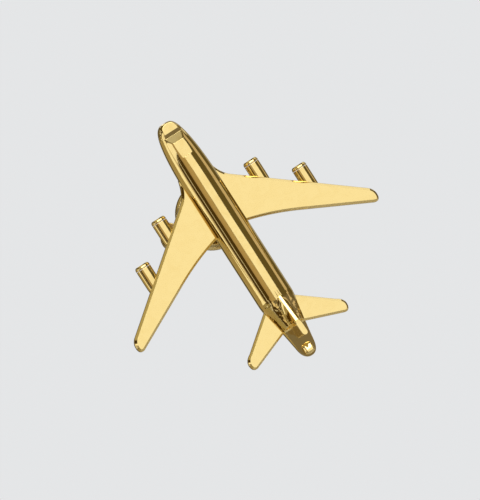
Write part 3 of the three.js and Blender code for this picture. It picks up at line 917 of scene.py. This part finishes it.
# %% Clutch spring
def spring_rings(ring=2.5, wire=0.15, gap=0.09 * math.pi):
    """Circles square to a path: a split circle whose lift off the cloth is 0.9 + 0.3 cos(2 angle)."""
    angle = math.pi / 2 + np.linspace(gap, 2 * math.pi - gap, 160)[:, None]
    round_wire = np.linspace(0, 2 * math.pi, 20, endpoint=False)
    lift = 0.9 + 0.3 * np.cos(2 * angle)
    climb = -0.6 * np.sin(2 * angle) / ring
    size = np.hypot(1, climb)
    out, up = wire * np.cos(round_wire), wire * np.sin(round_wire)
    x = (ring + out) * np.cos(angle) + up * climb / size * np.sin(angle)
    y = (ring + out) * np.sin(angle) - up * climb / size * np.cos(angle)
    return np.stack([x, y, -CLOTH_GAP - lift - up / size], axis=-1)


piece(
    "clutch_spring_wire", *skin(spring_rings()),
    ["clutch_spring"], "clutch", "spring_steel", spring_steel,
)


# %% [markdown]
# ## The floor
# The floor is a plain pale disc, well below the pin. It fades out at its rim, where its alpha falls
# with the distance from the middle, so that no edge of it shows against the room.

# %% Floor
FLOOR_Z = -80 * MM
FLOOR_RADIUS = 160 * MM
around = np.linspace(0, 2 * math.pi, 96, endpoint=False)
floor_ring = np.stack([np.cos(around), np.sin(around), 0 * around], -1) * FLOOR_RADIUS
floor_ring[:, 2] = FLOOR_Z
floor_mesh = bpy.data.meshes.new("floor")
floor_mesh.from_pydata(floor_ring.tolist(), [], [list(range(len(around)))])
floor = bpy.data.objects.new("floor", floor_mesh)
bpy.context.scene.collection.objects.link(floor)
paper = bpy.data.materials.new("pale_paper")
paper.use_nodes = True
nodes, links = paper.node_tree.nodes, paper.node_tree.links
paper_shader = nodes["Principled BSDF"]
paper_shader.inputs["Base Color"].default_value = (0.82, 0.82, 0.83, 1)
paper_shader.inputs["Roughness"].default_value = 0.9
spot = add(nodes, "ShaderNodeTexCoord")
flatten = add(nodes, "ShaderNodeMapping", Scale=(1, 1, 0))
far = add(nodes, "ShaderNodeVectorMath", operation="LENGTH")
links.new(spot.outputs["Object"], flatten.inputs["Vector"])
links.new(flatten.outputs["Vector"], far.inputs[0])
fade = ramp(nodes, links, far.outputs["Value"], 80 * MM, 150 * MM, 1.0, 0.0, "SMOOTHSTEP")
links.new(fade, paper_shader.inputs["Alpha"])
floor_mesh.materials.append(paper)
print("floor disc", round(2 * FLOOR_RADIUS / MM), "mm across")


# %% [markdown]
# ## Light
# Mirror metal shows nothing but its surroundings, so the light does most of the work. A wrapped image
# of a studio would be the usual way. Softboxes need no file, and each can be placed where one facet
# mirrors it. A light that is given by the directions that it covers stays easy to think about,
# however far away it stands. The widest, the key, is mirrored by the flat faces of the plates.

# %% One softbox
LAMP_DISTANCE = 0.5


def softbox(name, azimuth, elevation, half_wide, half_high, brightness, colour=(1, 1, 1), roll=0.0):
    """A rectangle that covers half_wide and half_high degrees each side of a place, turned by roll."""
    light = bpy.data.lights.new(name, "AREA")
    light.shape = "RECTANGLE"
    light.size = 2 * LAMP_DISTANCE * math.tan(math.radians(half_wide))
    light.size_y = 2 * LAMP_DISTANCE * math.tan(math.radians(half_high))
    light.energy = math.pi * brightness * light.size * light.size_y
    light.color = colour
    box = bpy.data.objects.new(name, light)
    towards = direction(azimuth, elevation)
    box.location = towards * LAMP_DISTANCE
    box.rotation_mode = "QUATERNION"
    aimed = (-towards).to_track_quat("-Z", "Y")
    box.rotation_quaternion = aimed @ Quaternion((0, 0, 1), math.radians(roll))
    box.visible_camera = False
    bpy.context.scene.collection.objects.link(box)
    return box


key = softbox("key_softbox", 8, 15, 23.5, 27, 0.9)
print("key softbox", round(key.data.size, 2), "by", round(key.data.size_y, 2), "m")

# %% [markdown]
# The rest are named for what they draw. In front, one hot lamp gives the fin and the boss their glints,
# and a brown card lies next to the key, for the tan band beside the bright crown.

# %% Lights in front
softbox("hot_lamp", 11, 34.5, 24, 10.5, 2.4)
softbox("brown_card", -29.5, 14, 14, 24, 0.32, (1.0, 0.76, 0.48))
softbox("top_softbox", 0, 80, 15, 28, 0.42)

# %% [markdown]
# To port, a strip and its dimmer neighbours make the cream and tan lines along the flank, with a thin
# sliver between the dark bands. The low cards keep the tail from going black, and the edge card gives
# the leading edges their olive slope.

# %% Lights to port
softbox("port_strip", -98.5, 9, 9.5, 15, 0.95, (1.0, 1.0, 0.95))
softbox("port_tan", -85, 9, 4, 15, 0.5, (1.0, 0.92, 0.8))
softbox("port_upper", -64, 18, 18, 6.5, 0.95, roll=10)
softbox("port_sliver", -65, -14, 2.0, 24, 0.5)
softbox("edge_card", -73, 61, 26, 16, 0.33, (1.0, 0.9, 0.6))
softbox("tail_streak", -38, -22, 5, 9, 0.6, (1.0, 0.85, 0.6))
softbox("tail_card", -88, -22, 17, 13, 0.28, (1.0, 0.9, 0.55))

# %% [markdown]
# To starboard, a tan strip marks the far flank. Behind, two dim cards light the steep walls that
# mirror the room at the back, and two small lamps put sparks on the rim of the nose.

# %% Lights to starboard and behind
softbox("starboard_strip", 80, 11, 11, 29, 0.45, (1.0, 0.86, 0.75))
softbox("starboard_glint", 115, 17, 4, 6, 1.0)
softbox("starboard_high", 101, 42, 16, 12, 0.85)
softbox("starboard_low", 99, -52, 18, 13, 0.85)
softbox("rear_starboard", 150, 5, 26, 48, 0.25)
softbox("rear_port", 230.5, -10, 22.5, 30, 0.3, (1.0, 0.84, 0.5))
softbox("nose_glint", -126, 29, 5, 7, 1.2)
softbox("nose_spark", 172, 32, 5, 12, 1.0)

# %% [markdown]
# ## The room
# Between the lights the metal mirrors a dim room, which draws the dark bands. It is brown, a little
# lighter low down, and darker to port. The camera itself sees a pale backdrop in its place, which a
# light path node chooses.

# %% Room
room = bpy.data.worlds.new("dim_room")
bpy.context.scene.world = room
room.use_nodes = True
nodes, links = room.node_tree.nodes, room.node_tree.links
dim = nodes["Background"]
backdrop = add(nodes, "ShaderNodeBackground", Color=(0.78, 0.79, 0.8, 1))
towards_sky = add(nodes, "ShaderNodeTexCoord")
compass = add(nodes, "ShaderNodeSeparateXYZ")
links.new(towards_sky.outputs["Generated"], compass.inputs["Vector"])
shade = add(nodes, "ShaderNodeMix", data_type="RGBA")
shade.inputs["A"].default_value = (0.20, 0.17, 0.13, 1)
shade.inputs["B"].default_value = (0.12, 0.095, 0.04, 1)
rise = ramp(nodes, links, compass.outputs["Z"], -0.3, -0.05, kind="SMOOTHSTEP")
links.new(rise, shade.inputs["Factor"])
port_shade = add(nodes, "ShaderNodeMix", data_type="RGBA")
port_shade.inputs["A"].default_value = (0.065, 0.04, 0.01, 1)
across = ramp(nodes, links, compass.outputs["X"], -0.7, -0.5, kind="SMOOTHSTEP")
links.new(across, port_shade.inputs["Factor"])
links.new(shade.outputs["Result"], port_shade.inputs["B"])
links.new(port_shade.outputs["Result"], dim.inputs["Color"])
ray = add(nodes, "ShaderNodeLightPath")
choose = add(nodes, "ShaderNodeMixShader")
links.new(ray.outputs["Is Camera Ray"], choose.inputs[0])
links.new(dim.outputs["Background"], choose.inputs[1])
links.new(backdrop.outputs["Background"], choose.inputs[2])
links.new(choose.outputs["Shader"], nodes["World Output"].inputs["Surface"])
bpy.context.scene.view_settings.view_transform = "Standard"
print("room", room.name)
